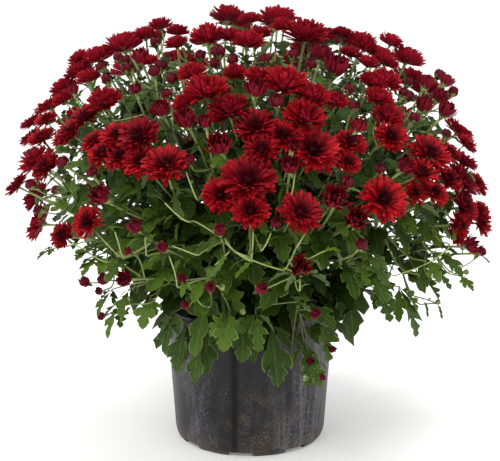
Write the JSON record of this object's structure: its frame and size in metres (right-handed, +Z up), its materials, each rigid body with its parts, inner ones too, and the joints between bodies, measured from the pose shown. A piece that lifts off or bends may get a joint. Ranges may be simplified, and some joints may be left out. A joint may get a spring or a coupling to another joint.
{
  "type": "pot chrysanthemum",
  "caption": "Garden chrysanthemum in a round nursery pot: a dome of dark red blooms and buds over lobed green leaves, for a table, step or bed.",
  "frame": {"origin": "middle of the pot's underside, on the plane that the foot ring rests on", "axes": "+Z up along the pot's axis, -Y towards the side that the picture shows"},
  "size_m": [0.5808, 0.5875, 0.5339],
  "materials": {
    "pot_plastic": "charcoal black, satin",
    "potting_soil": "matte",
    "leaves_and_stems": "matte",
    "petals": "velvety"
  },
  "bodies": {
    "root": {"bloom_19": "petals", "bloom_20": "petals", "bloom_21": "petals", "bloom_22": "petals", "bloom_23": "petals", "bloom_24": "petals", "bloom_25": "petals", "bloom_26": "petals", "bloom_27": "petals", "bloom_28": "petals", "bloom_29": "petals", "bloom_30": "petals", "bloom_31": "petals", "bloom_32": "petals", "bloom_33": "petals", "bloom_34": "petals", "bloom_35": "petals", "bloom_36": "petals", "bloom_37": "petals", "bloom_38": "petals", "bloom_39": "petals", "bloom_40": "petals", "bloom_41": "petals", "bunch_01": "petals", "bunch_02": "petals", "bunch_03": "petals", "bunch_04": "petals", "bunch_05": "petals", "bunch_06": "petals", "bunch_07": "petals", "bunch_08": "petals", "bunch_09": "petals", "bunch_10": "petals", "bunch_11": "petals", "bunch_12": "petals", "bunch_13": "petals", "bunch_14": "petals", "bunch_15": "petals", "bunch_16": "petals", "bunch_17": "petals", "bunch_18": "petals", "leafy_stem_01": "leaves_and_stems", "leafy_stem_02": "leaves_and_stems", "leafy_stem_03": "leaves_and_stems", "leafy_stem_04": "leaves_and_stems", "leafy_stem_05": "leaves_and_stems", "leafy_stem_06": "leaves_and_stems", "leafy_stem_07": "leaves_and_stems", "leafy_stem_08": "leaves_and_stems", "leafy_stem_09": "leaves_and_stems", "leafy_stem_10": "leaves_and_stems", "leafy_stem_11": "leaves_and_stems", "leafy_stem_12": "leaves_and_stems", "leafy_stem_13": "leaves_and_stems", "leafy_stem_14": "leaves_and_stems", "leafy_stem_15": "leaves_and_stems", "leafy_stem_16": "leaves_and_stems", "leafy_stem_17": "leaves_and_stems", "pot": "pot_plastic", "soil": "potting_soil"}
  },
  "joints": []
}
